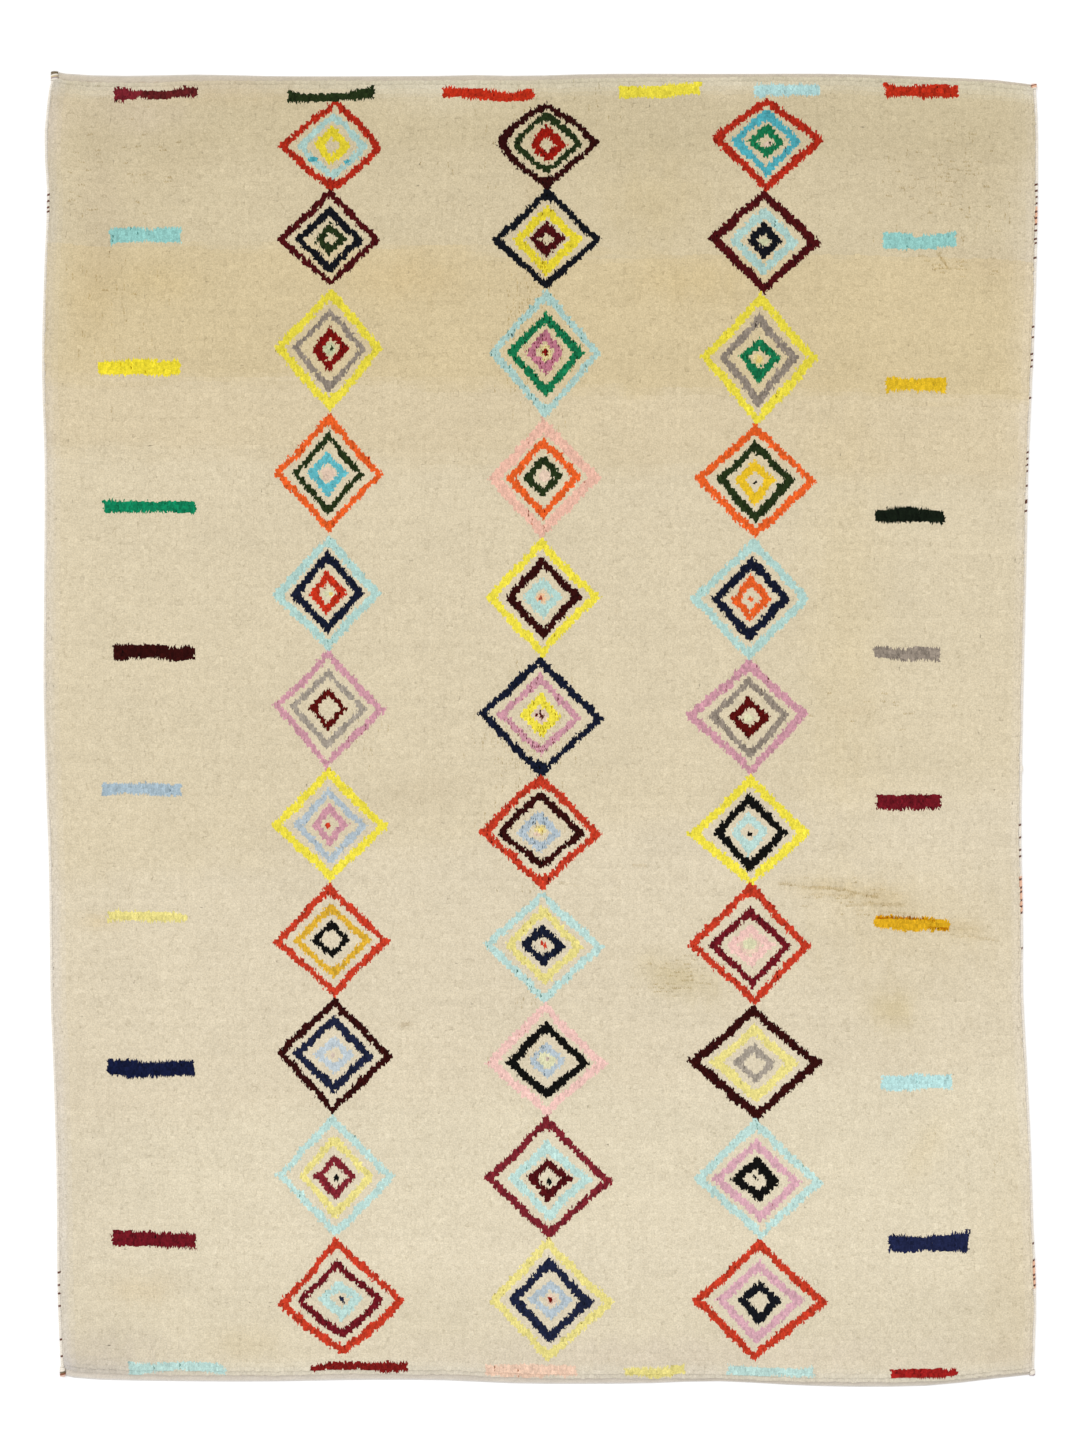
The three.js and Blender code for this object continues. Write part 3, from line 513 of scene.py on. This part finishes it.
def draw_lozenge(yarn, u, v, ragged, x, y, yarns, drift, fill, outer, middle, inner, bulges=(0, 0, 0, 0)):
    reach = max(outer) + 3
    places = np.nonzero((np.abs(u - x) < reach) & (np.abs(v - y) < reach))
    dx = u[places] - x
    dy = v[places] - y
    for name, ring in zip(yarns.split(), (outer, middle, inner)):
        *reaches, line = ring
        share = sum(reaches[:2]) / sum(outer[:2])
        own_drift = [way * share for way in drift]
        depth = ring_depth(dx, dy, reaches, own_drift, bulges)
        from_point = np.abs(dx - np.where(dy > 0, *own_drift[2:]))
        thicker = np.where(dy > 0, *fill) if ring is outer else INNER_FILL
        line = line + thicker * smooth(POINT_HALF - from_point) + ragged[places]
        drawn = (depth >= 0) & (depth <= line)
        yarn[tuple(index[drawn] for index in places)] = YARN_NUMBER[name]


def draw_spot(yarn, u, v, x, y, wide, high, name, turn=0):
    across, along = turned(u - x, v - y, turn)
    inside = np.hypot(across / wide, along / high) < 1
    yarn[inside & ((yarn == 0) | (yarn >= YARN_NUMBER["blush"]))] = YARN_NUMBER[name]


def draw_bar(yarn, u, v, left, right, middles, thicknesses, name):
    stations = np.linspace(left, right, len(middles))
    middle = np.interp(u, stations, middles)
    thick = np.interp(u, stations, thicknesses)
    yarn[(u >= left) & (u <= right) & (np.abs(v - middle) <= thick / 2)] = YARN_NUMBER[name]


def facet_places(x, y):
    """In knots, where the four facets on a yarn end's top lie: far side, left, near side and right."""
    across = np.array([0, -KNOT / 8, 0, KNOT / 8])
    along = np.array([KNOT / 4, 0, -KNOT / 4, 0])
    return (x[..., None] + across) / KNOT, (y[..., None] + along) / KNOT


def facet_yarns(facets, shape):
    """The number of the yarn on each facet, 0 where it is undyed."""
    wavers = [noise(shape, (lumps, 4, 8)) + rng.normal(0, ends, shape) for lumps, ends in WAVER]
    u, v = (place + waver[..., None] + rng.normal(0, FACET_WAVER, place.shape)
            for place, waver in zip(facets, wavers))
    ragged = np.broadcast_to(noise(shape, LINE_NOISE)[..., None], u.shape)
    yarn = np.zeros(u.shape, int)
    for lozenge in LOZENGES:
        draw_lozenge(yarn, u, v, ragged, *lozenge)
    for spot in SPOTS:
        draw_spot(yarn, *facets, *spot)
    for bar in BARS:
        draw_bar(yarn, u, between(facets[1], v, BAR_WAVER), *bar)
    return yarn


def tinted(colour, tint, share):
    return colour * between(1, np.array(tint), share[..., None])


def undyed_wool(u, v):
    """The ground's colour: lots of wool that meet in soft lines, with painted shade towards the top end and
    on the end rows, stains, a paler rim and streaks.
    """
    wander = noise(u.shape, *LOT_NOISE)
    colour = np.zeros(u.shape + (3,))
    # painted shade: the lots also darken the ground towards the top end, where the light falls off
    for left, right, soft, lot_and_shade in LOTS_AND_PAINTED_SHADE:
        edge = between(left, right, (u + LOT_SIDE) / (2 * LOT_SIDE))
        share = smooth((edge - v + wander) / soft + 0.5)[..., None]
        colour = between(colour, linear(lot_and_shade), share)
    for x, y, length, width, tint, *turn in STAINS:
        along, across = turned(u - x, v - y, sum(turn))
        away = np.hypot(along / length, across / width) + noise(u.shape, STAIN_NOISE)
        colour = tinted(colour, tint, np.exp(-away ** 2))
    inward = {
        "left": u - u.min(axis=1, keepdims=True),
        "right": u.max(axis=1, keepdims=True) - u,
        "top": v.max(axis=0, keepdims=True) - v,
        "bottom": v - v.min(axis=0, keepdims=True),
    }
    # the last two margins paint shade on the end rows of the pile
    for side, reach, tint in MARGINS:
        colour = tinted(colour, tint, smooth(1 - inward[side] / reach))
    return colour * (1 + noise(u.shape, *GROUND_NOISE))[..., None]


def facet_colours(u, v, yarn, openness):
    """Each facet's scene-linear colour: its yarn's, with painted shade that makes it darker and deeper where
    the pile is open.
    """
    dyed = (yarn > 0)[..., None]
    ground = undyed_wool(u, v)[..., None, :]
    dyes = np.array([linear(CREAM)] + [linear(colour) for colour in YARNS.values()])
    shade = (ground.mean(axis=-1, keepdims=True) / linear(CREAM).mean()) ** DYED_SHADE
    colour = np.where(dyed, dyes[yarn] * shade, ground)
    spread = between(*DYED_GRAIN, smooth(dyes.mean(axis=1) / LIGHT_DYE))
    spread[0] = UNDYED_GRAIN
    grain = GRAIN_PARTS * rng.normal(0, 1, u.shape)[..., None] + GRAIN_PARTS * rng.normal(0, 1, yarn.shape)
    # painted shade: dark specks on some facets, as in the gaps between tufts
    shade_specks = SHADE_SPECK_DEPTH * (rng.uniform(0, 1, yarn.shape) < SHADE_SPECKS)
    colour *= 1 + (grain * spread[yarn] - shade_specks)[..., None] * np.where(dyed, 1, np.array(GREY_GRAIN))
    # painted shade where the pile is open
    depth = openness[..., None]
    return colour ** (1 + DEEPER * depth) * (1 - DARKER * depth) * IN_DAYLIGHT


YARN_NUMBER = {name: number + 1 for number, name in enumerate(YARNS)}


# How the tufts stand

def surface_heights(x, y):
    """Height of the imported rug's upper face under each knot."""
    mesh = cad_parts["rug"].data
    tree = BVHTree.FromPolygons([v.co[:] for v in mesh.vertices], [p.vertices[:] for p in mesh.polygons])
    found = [tree.ray_cast((px, py, 0.1), (0, 0, -1))[0] for px, py in zip(x.ravel(), y.ravel())]
    return np.array([BASE_THICKNESS if hit is None else hit[2] for hit in found]).reshape(x.shape)


def part_pile(u, v):
    """How open the pile is along the creases, from 0 to 1, and which way tufts there lean."""
    openness = np.zeros(u.shape)
    lean = np.zeros(u.shape + (2,))
    runs = [(a, b, depth) for points, depth in CREASES for a, b in zip(points, points[1:])]
    for start, end, depth in runs:
        start, end = np.array([start, end], float)
        length = np.linalg.norm(end - start)
        along = (end - start) / length
        middle, half = (start + end) / 2, np.abs(end - start) / 2
        near = (np.abs(u - middle[0]) < half[0] + 2) & (np.abs(v - middle[1]) < half[1] + 2)
        du, dv = u[near] - start[0], v[near] - start[1]
        run = du * along[0] + dv * along[1]
        off = dv * along[0] - du * along[1]
        past = np.maximum(0, np.maximum(-run, run - length))
        lean_fade, gap_fade = ((past / reach) ** 2 for reach in CREASE_ENDS)
        away = depth * np.sign(off) * np.exp(-off ** 2 - lean_fade)
        lean[near] += np.stack([-along[1] * away, along[0] * away], axis=1)
        gap = depth * np.exp(-(off / CREASE_HALF) ** 2 - gap_fade)
        openness[near] = np.maximum(openness[near], gap)
    return openness * rng.uniform(*GAP_SHARES, u.shape), lean


# Strokes of shadow: the facet they darken, the axis they run along, and how many ends they cross
STROKES = {"up": (1, 0, 2), "across": (2, 1, 3)}


def shadows(u, v, yarn):
    """How far each facet lies in shadow between yarn ends that stand apart, from 0 to 1."""
    dyed = yarn > 0
    dark = np.zeros(u.shape, bool)
    for way, (facet, axis, length) in STROKES.items():
        share = np.where(dyed, DYED_SHADOWS, 0) if way == "up" else 0
        for x, y, width, height, most in FOLDS[way]:
            away = ((u - x) / width) ** 2 + ((v - y) / height) ** 2
            share = np.maximum(share, most * np.exp(-away))
        starts = (rng.uniform(0, 1, u.shape) < share) & (np.arange(4) == facet)
        for step in range(length):
            dark |= np.roll(starts, step, axis=axis)
    return dark * np.where(dyed, 1, UNDYED_SHADOW) * rng.uniform(*SHADOW_DEPTHS, u.shape)


def edge_lean(x, y):
    """Tufts along the sides lean out over the bindings, and those at the ends over the woven bands."""
    lean = np.zeros(x.shape + (2,))
    for axis, outward, away in (
            (0, -1, x - side_x("left", y)), (0, 1, side_x("right", y) - x),
            (1, -1, y - band_y("bottom", x)), (1, 1, band_y("top", x) - y)):
        lean[..., axis] += outward * SPILL * np.clip(1 - away / KNOT / SPILL_REACH, 0, None) ** 2
    return lean


# Meshes

def add_object(name, data):
    thing = bpy.data.objects.new(name, data)
    bpy.context.scene.collection.objects.link(thing)
    return thing


def closed_mesh(name, points, faces):
    mesh = bpy.data.meshes.new(name)
    mesh.from_pydata(points, [], faces)
    mesh.update()
    return add_object(name, mesh)


def finish_mesh(mesh, colours, material, domain="POINT"):
    """Gives each point, or each corner of each face, the colour that the yarn material reads."""
    layer = mesh.attributes.new("yarn_colour", "FLOAT_COLOR", domain)
    rgba = np.ones((len(colours), 4), np.float32)
    rgba[:, :3] = colours
    layer.data.foreach_set("color", rgba.ravel())
    mesh.materials.append(material)


def shade_smooth(mesh):
    mesh.polygons.foreach_set("use_smooth", np.ones(len(mesh.polygons), bool))


# A tuft is closed all round: its root, four points round its shoulder, and its tip
TUFT_POINTS = 6
TUFT_FACES = np.array([
    (1, 2, 5), (2, 3, 5), (3, 4, 5), (4, 1, 5),
    (2, 1, 0), (3, 2, 0), (4, 3, 0), (1, 4, 0),
])
SHOULDER_SIGNS = ((1, 1), (-1, 1), (-1, -1), (1, -1))
CELL_POINTS = np.array([(0, 0), (0.85, 0.85), (0.15, 0.85), (0.15, 0.15), (0.85, 0.15), (0.5, 0.5)])
CELL_ROOTS = ((0.5, 0.99), (0.01, 0.5), (0.5, 0.01), (0.99, 0.5))  # where each flank has the root


def tuft_points(tufts):
    points = np.zeros((len(tufts["x"]), TUFT_POINTS, 3))
    foot = np.stack([tufts["x"], tufts["y"]], axis=1)
    points[:, 0, :2] = foot
    points[:, 0, 2] = ROOT_HEIGHT
    cos, sin = np.cos(tufts["turn"]), np.sin(tufts["turn"])
    for corner, (sign_x, sign_y) in enumerate(SHOULDER_SIGNS, start=1):
        a, b = sign_x * tufts["half_x"], sign_y * tufts["half_y"]
        shift = np.stack([a * cos - b * sin, a * sin + b * cos], axis=1)
        points[:, corner, :2] = foot + SHOULDER_LEAN * tufts["lean"] + shift
        points[:, corner, 2] = tufts["top"] - DOME
    points[:, 5, :2] = foot + TIP_LEAN * tufts["lean"]
    points[:, 5, 2] = tufts["top"]
    return points


def tuft_map(mesh, count):
    """A map that gives each tuft a cell of its own: its top in the middle, its flanks round the rim."""
    cells = math.ceil(math.sqrt(count))
    row, column = np.divmod(np.arange(count), cells)
    cell = np.stack([column, row], axis=1)[:, None, None]
    pattern = CELL_POINTS[TUFT_FACES]
    pattern[4:, 2] = CELL_ROOTS
    layer = mesh.uv_layers.new(name="OFBake")
    layer.data.foreach_set("uv", ((cell + pattern) / cells).astype(np.float32).ravel())


def tuft_piece(name, tufts, material):
    """One stretch of the pile as a single mesh of closed tufts, each with a sharp shoulder."""
    count = len(tufts["x"])
    faces = (TUFT_FACES[None] + TUFT_POINTS * np.arange(count)[:, None, None]).reshape(-1, 3)
    piece = closed_mesh(name, tuft_points(tufts).reshape(-1, 3), faces)
    mesh = piece.data
    faces_of_tuft = np.tile(tufts["colour"], (1, 2, 1))
    finish_mesh(mesh, np.repeat(faces_of_tuft.reshape(-1, 3), 3, axis=0), material, "CORNER")
    tuft_map(mesh, count)
    shade_smooth(mesh)
    ends = np.zeros(len(mesh.edges) * 2, np.int32)
    mesh.edges.foreach_get("vertices", ends)
    on_shoulder = (ends % TUFT_POINTS > 0) & (ends % TUFT_POINTS < 5)
    mesh.edges.foreach_set("use_edge_sharp", on_shoulder.reshape(-1, 2).all(axis=1))
    return piece


def ends_apart(yarn, openness):
    """Where the two ends of a knot stand apart: by dyed yarn, in creases and along the two sides."""
    dyed = (yarn > 0).any(axis=2)
    apart = np.any([np.roll(dyed, step, axis=(0, 1)) for step in product((-1, 0, 1), repeat=2)], axis=0)
    apart |= openness.max(axis=2) > OPEN_ENOUGH
    apart[:, :2 * SPLIT_EDGE] = True
    apart[:, -2 * SPLIT_EDGE:] = True
    return apart | np.roll(apart.reshape(len(apart), -1, 2), 1, axis=2).reshape(apart.shape)


def pile_tufts():
    """The tufts: one to each yarn end where the ends of a knot stand apart, else one to a knot."""
    x, y = end_lattice()
    facets = facet_places(x, y)
    yarn = facet_yarns(facets, x.shape)
    openness, parting = part_pile(*facets)
    openness = np.maximum(openness, shadows(*facets, yarn))
    colour = facet_colours(x / KNOT, y / KNOT, yarn, openness)
    lean = rng.normal(0, LEAN, x.shape + (2,)) + PARTING * parting.mean(axis=2) + edge_lean(x, y)
    lean[..., 0] += noise(x.shape, (SWAY, 5, 9))
    lean[..., 1] += noise(x.shape, (SWAY, 5, 9)) + NAP
    top = surface_heights(x, y) + rng.normal(0, UNEVEN, x.shape) - SINKING * openness.mean(axis=2)
    apart = ends_apart(yarn, openness)
    tufts = {
        "x": x + np.where(apart, 0, KNOT / 4) + rng.normal(0, SCATTER, x.shape),
        "y": y + rng.normal(0, SCATTER, x.shape),
        "top": top,
        "lean": lean,
        "half_x": (KNOT / np.where(apart, 4, 2) + OVERLAP) * rng.uniform(*PLUMPNESS, x.shape),
        "half_y": (KNOT / 2 + OVERLAP) * rng.uniform(*PLUMPNESS, x.shape),
        "turn": rng.normal(0, TWIST, x.shape),
        "colour": colour,
    }
    first = np.arange(x.shape[1]) % 2 == 0
    return {name: values[apart | first] for name, values in tufts.items()}


def make_pile(material):
    tufts = pile_tufts()
    edges = np.linspace(0, len(tufts["x"]), PILE_PIECES + 1).astype(int)
    pieces = []
    for number, (low, high) in enumerate(zip(edges, edges[1:]), start=1):
        stretch = {name: values[low:high] for name, values in tufts.items()}
        pieces.append(tuft_piece(f"pile_{number}", stretch, material))
    return pieces


# The woven base, with its flat-woven ends

BAND_WEFTS = 9
BED_ROWS = 24
THIN_END = 0.6  # how thick the first and last rows are, as a share of the rest
BAND_PAINTED_LIGHT = (0.98, 1.1)  # painted light at the rug's end and at the pile: lighter towards the pile, against the shade the pile casts on the band
END_TINT = (1.01, 1.05, 1.13)  # of the outermost wefts
WEFT_SHADES = (0.91, 1.06)
DASHES = 0.45  # how strong the noise is where the dashed weft is brown
DASH_TINT = (0.88, 0.82, 0.76)


def base_row_y(row, x):
    """Height up the rug of one row of the base's grid: band, bed of the pile, band."""
    if row <= BAND_WEFTS:
        return between(end_y("bottom", x), band_y("bottom", x), row / BAND_WEFTS)
    if row >= BAND_WEFTS + BED_ROWS:
        return between(band_y("top", x), end_y("top", x), (row - BAND_WEFTS - BED_ROWS) / BAND_WEFTS)
    low = band_y("bottom", x) + BED_INSET
    high = band_y("top", x) - BED_INSET
    return between(low, high, (row - BAND_WEFTS - 1) / (BED_ROWS - 2))


def band_colours(end, places):
    """The yarns of one woven band by wefts from the rug's end, with a dashed brown one near the pile, and
    painted light that grows towards the pile.
    """
    colour = np.ones((BAND_WEFTS + 1, places, 3)) * linear(BAND_YARNS[end])
    # painted light, growing towards the pile
    colour *= np.linspace(*BAND_PAINTED_LIGHT, BAND_WEFTS + 1)[:, None, None]
    colour *= np.linspace(*BAND_SHADES[end], places)[:, None]
    colour[:2] *= END_TINT
    colour *= 1 + noise((BAND_WEFTS + 1, places), BAND_NOISE)[..., None]
    colour *= rng.uniform(*WEFT_SHADES, (BAND_WEFTS + 1, places, 1))
    dashed = cloud((1, places), 1, 4)[0] > DASHES
    colour[-3, dashed] *= DASH_TINT
    return colour


def base_face(places):
    """Points and colours of the base's upper face, row by row up the rug."""
    rows = 2 * BAND_WEFTS + BED_ROWS + 1
    points = np.zeros((rows, places, 3))
    for row in range(rows):
        x, y = across_rug(lambda x: base_row_y(row, x), np.linspace(0, 1, places))
        weave = WEAVE_RELIEF * ((np.arange(places) + row) % 2)
        points[row] = np.stack([x, y, BASE_THICKNESS + weave], axis=1)
    points[BAND_WEFTS + 1:BAND_WEFTS + BED_ROWS, 1:-1, 2] = BED_HEIGHT
    points[[0, -1], :, 2] = BASE_THICKNESS * THIN_END
    colour = np.ones(points.shape) * linear(CREAM)
    colour[:BAND_WEFTS + 1] = band_colours("bottom", places)
    colour[-BAND_WEFTS - 1:] = band_colours("top", places)[::-1]
    return points, colour * IN_DAYLIGHT


def make_base(material):
    """One closed sheet: woven bands at both ends, the bed of the pile between them, and a flat back."""
    upper, colour = base_face(2 * round((side_x("right", 0) - side_x("left", 0)) / WARP) + 1)
    at = np.arange(upper[..., 0].size).reshape(upper.shape[:2])
    quads = np.stack([at[:-1, :-1], at[:-1, 1:], at[1:, 1:], at[1:, :-1]], axis=-1).reshape(-1, 4)
    rim_ring = np.concatenate([at[0, :-1], at[:-1, -1], at[-1, :0:-1], at[:0:-1, 0]])
    foot_ring = at.size + np.arange(len(rim_ring))
    walls = np.stack([foot_ring, np.roll(foot_ring, -1), np.roll(rim_ring, -1), rim_ring], axis=1)
    with_foot = np.concatenate([at.ravel(), rim_ring])
    points = upper.reshape(-1, 3)[with_foot]
    points[at.size:, 2] = 0
    faces = quads.tolist() + walls.tolist() + [foot_ring[::-1].tolist()]
    piece = closed_mesh("woven_base", points, faces)
    finish_mesh(piece.data, colour.reshape(-1, 3)[with_foot], material)
    return piece


# Side bindings and corner yarn

SIDES = 10  # of a wound cord's section
STATIONS = 3  # rings of points to one turn of yarn
GROOVE = 0.9  # how full a cord is between two turns, and how light: its colour there is darkened as painted shade
SLANT = 0.3  # how far round turns slant, in turns


def skin(rings):
    """The faces of a closed skin over rings of SIDES points each."""
    at = np.arange(rings * SIDES).reshape(rings, SIDES)
    after = np.roll(at, -1, axis=1)
    sides = np.stack([at[:-1], after[:-1], after[1:], at[1:]], axis=-1).reshape(-1, 4)
    return sides.tolist() + [at[0, ::-1].tolist(), at[-1].tolist()]


def wound_cord(name, ends, section, turn_colours, material):
    """A cord along Y wound with yarn. section(y) gives its middle x, width and height there."""
    stations = STATIONS * len(turn_colours)
    angles = np.linspace(0, 2 * math.pi, SIDES, endpoint=False)
    rings, colours = [], []
    for station in range(stations + 1):
        y = between(*ends, station / stations)
        middle, width, height = section(y)
        full = GROOVE if station % STATIONS == 0 else 1
        rings.append(np.stack([
            middle + full * width / 2 * np.sin(angles),
            y + SLANT * TURN * np.sin(angles) * min(1, station, stations - station),
            height / 2 + full * height / 2 * np.cos(angles)], axis=1))
        yarn = turn_colours[min(station // STATIONS, len(turn_colours) - 1)]
        # painted shade in the groove between two turns
        colours.append(np.tile(yarn * full, (SIDES, 1)))
    piece = closed_mesh(name, np.concatenate(rings), skin(len(rings)))
    shade_smooth(piece.data)
    finish_mesh(piece.data, np.concatenate(colours), material)
    return piece


def binding_turn(side, turn_y):
    """The yarn of one turn of a side binding."""
    knots = turn_y / KNOT
    if any(abs(knots - place) < BROWN_HALF for place in BROWN_TURNS[side]):
        return linear(BINDING_YARNS["brown"])
    if any(low < knots < high for low, high in PEACH_TURNS[side]):
        return linear(BINDING_YARNS["peach"])
    return linear(BINDING_YARNS["cream"]) * rng.uniform(*TURN_SHADES) * BINDING_SHADES[side]


def make_binding(side, material):
    outward = -1 if side == "left" else 1
    low, high = (corner[1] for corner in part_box(f"selvedge_{side}"))
    turns = round((high - low) / TURN)

    def section(y):
        away = abs(y - MEND_Y) / MEND_HALF
        bulge = MEND_EXTRA * math.cos(away * math.pi / 2) ** 2 if side == "right" and away < 1 else 0
        middle = side_x(side, y) + outward * (SEWN_GAP + (CORD_WIDTH + bulge) / 2)
        return middle, CORD_WIDTH + bulge, CORD_HEIGHT + bulge

    yarns = [binding_turn(side, between(low, high, (turn + 0.5) / turns)) for turn in range(turns)]
    return wound_cord(f"binding_{side}", (low, high), section, yarns, material)


def make_corner(place, yarns, material):
    """The few turns of yarn round one corner, in the yarns named from the rug's end inwards."""
    low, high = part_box(f"corner_wrap_{place}")
    ends = (high[1], low[1]) if place.startswith("top") else (low[1], high[1])
    section = ((low[0] + high[0]) / 2, high[0] - low[0], high[2] - low[2])
    turn_colours = [linear(BINDING_YARNS[name]) for name in yarns.split()]
    piece = wound_cord(f"corner_{place}", ends, lambda y: section, turn_colours, material)
    if place.startswith("top"):
        piece.data.flip_normals()
    return piece


# Materials

def set_inputs(node, values):
    for name, value in values.items():
        node.inputs[name].default_value = value


def node_material(name, values):
    material = bpy.data.materials.new(name)
    material.use_nodes = True
    set_inputs(material.node_tree.nodes["Principled BSDF"], values)
    return material


def fibre_noise(nodes, links, scale):
    """Noise in fine fibres that stand up."""
    place = nodes.new("ShaderNodeTexCoord")
    mapping = nodes.new("ShaderNodeMapping")
    fibres = nodes.new("ShaderNodeTexNoise")
    set_inputs(mapping, {"Scale": (1, 1, 0.3)})
    set_inputs(fibres, {"Scale": scale, "Detail": 3})
    links.new(place.outputs["Object"], mapping.inputs["Vector"])
    links.new(mapping.outputs["Vector"], fibres.inputs["Vector"])
    return fibres.outputs["Fac"]


def ranged(nodes, links, value, low, high):
    """The noise moved to run from low to high."""
    change = nodes.new("ShaderNodeMapRange")
    set_inputs(change, {"From Min": 0.3, "From Max": 0.7, "To Min": low, "To Max": high})
    links.new(value, change.inputs["Value"])
    return change.outputs["Result"]


def yarn_material(name, fibre_scale, spread):
    """Wool yarn in the colour that its mesh carries, with fibres that vary in shade and stand proud."""
    surface = {"Sheen Weight": 0.02, "Sheen Roughness": 0.6, "Specular IOR Level": 0.04}
    material = node_material(name, surface)
    nodes, links = material.node_tree.nodes, material.node_tree.links
    shader = nodes["Principled BSDF"]
    colour = nodes.new("ShaderNodeAttribute")
    colour.attribute_name = "yarn_colour"
    fibres = fibre_noise(nodes, links, fibre_scale)
    shade = nodes.new("ShaderNodeVectorMath")
    shade.operation = "SCALE"
    links.new(colour.outputs["Color"], shade.inputs[0])
    links.new(ranged(nodes, links, fibres, 1 - spread, 1 + spread), shade.inputs["Scale"])
    links.new(shade.outputs["Vector"], shader.inputs["Base Color"])
    links.new(ranged(nodes, links, fibres, 0.98, 0.82), shader.inputs["Roughness"])
    bump = nodes.new("ShaderNodeBump")
    set_inputs(bump, {"Strength": 0.35, "Distance": 0.0004})
    links.new(fibre_noise(nodes, links, fibre_scale * 1.8), bump.inputs["Height"])
    links.new(bump.outputs["Normal"], shader.inputs["Normal"])
    return material


# Studio

FLOOR_HALF = 8.0
FLOOR_DROP = 0.0004  # how far the floor lies below the rug
PHOTO_HEIGHT = 1440  # pixels
PIXEL = 0.001525  # metres of rug to one pixel of the photo
RUG_BELOW_MIDDLE = 9  # pixels from the photo's middle down to the rug's middle
CAMERA_HEIGHT = 4.0


def make_floor():
    corners = [(FLOOR_HALF * x, FLOOR_HALF * y, 0) for x, y in ((-1, -1), (1, -1), (1, 1), (-1, 1))]
    floor = closed_mesh("floor", corners, [(0, 1, 2, 3)])
    floor.data.materials.append(node_material("studio_floor", {
        "Base Color": (0.9, 0.9, 0.9, 1),
        "Roughness": 0.9,
        "Specular IOR Level": 0.1,
    }))
    floor.location.z = -FLOOR_DROP


def make_lights():
    world = bpy.data.worlds.new("studio_air")
    world.use_nodes = True
    set_inputs(world.node_tree.nodes["Background"], {"Color": (1, 1, 1, 1), "Strength": 1.0})
    bpy.context.scene.world = world
    lamp = bpy.data.lights.new("window_light", "SUN")
    lamp.angle = math.radians(50)
    lamp.energy = 1.0
    key = add_object("window_light", lamp)
    key.rotation_mode = "QUATERNION"
    key.rotation_quaternion = Vector((-0.35, 0.4, 1.0)).to_track_quat("Z", "Y")


def make_camera():
    data = bpy.data.cameras.new("camera")
    data.sensor_fit = "VERTICAL"
    data.sensor_height = 36
    data.sensor_width = 36
    pile_top = cad_high.z
    data.lens = data.sensor_height * (CAMERA_HEIGHT - pile_top) / (PHOTO_HEIGHT * PIXEL)
    camera = add_object("camera", data)
    camera.location = (0, RUG_BELOW_MIDDLE * PIXEL, CAMERA_HEIGHT)
    bpy.context.scene.camera = camera


make_camera()
make_floor()
make_lights()
bpy.context.scene.view_settings.view_transform = "Standard"

pile_wool = yarn_material("pile_wool", 480, 0.14)
woven_wool = yarn_material("woven_wool", 900, 0.08)
wound_wool = yarn_material("wound_wool", 900, 0.1)
base = make_base(woven_wool)
pile = make_pile(pile_wool)
bindings = {side: make_binding(side, wound_wool) for side in ("left", "right")}
corners = {place: make_corner(place, yarns, wound_wool) for place, yarns in CORNERS.items()}

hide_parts("rug")
for side, piece in bindings.items():
    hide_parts(f"selvedge_{side}")
for place, piece in corners.items():
    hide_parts(f"corner_wrap_{place}")
sewn_on = pile + list(bindings.values()) + list(corners.values())
for piece in [base] + sewn_on:
    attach(piece, "root")
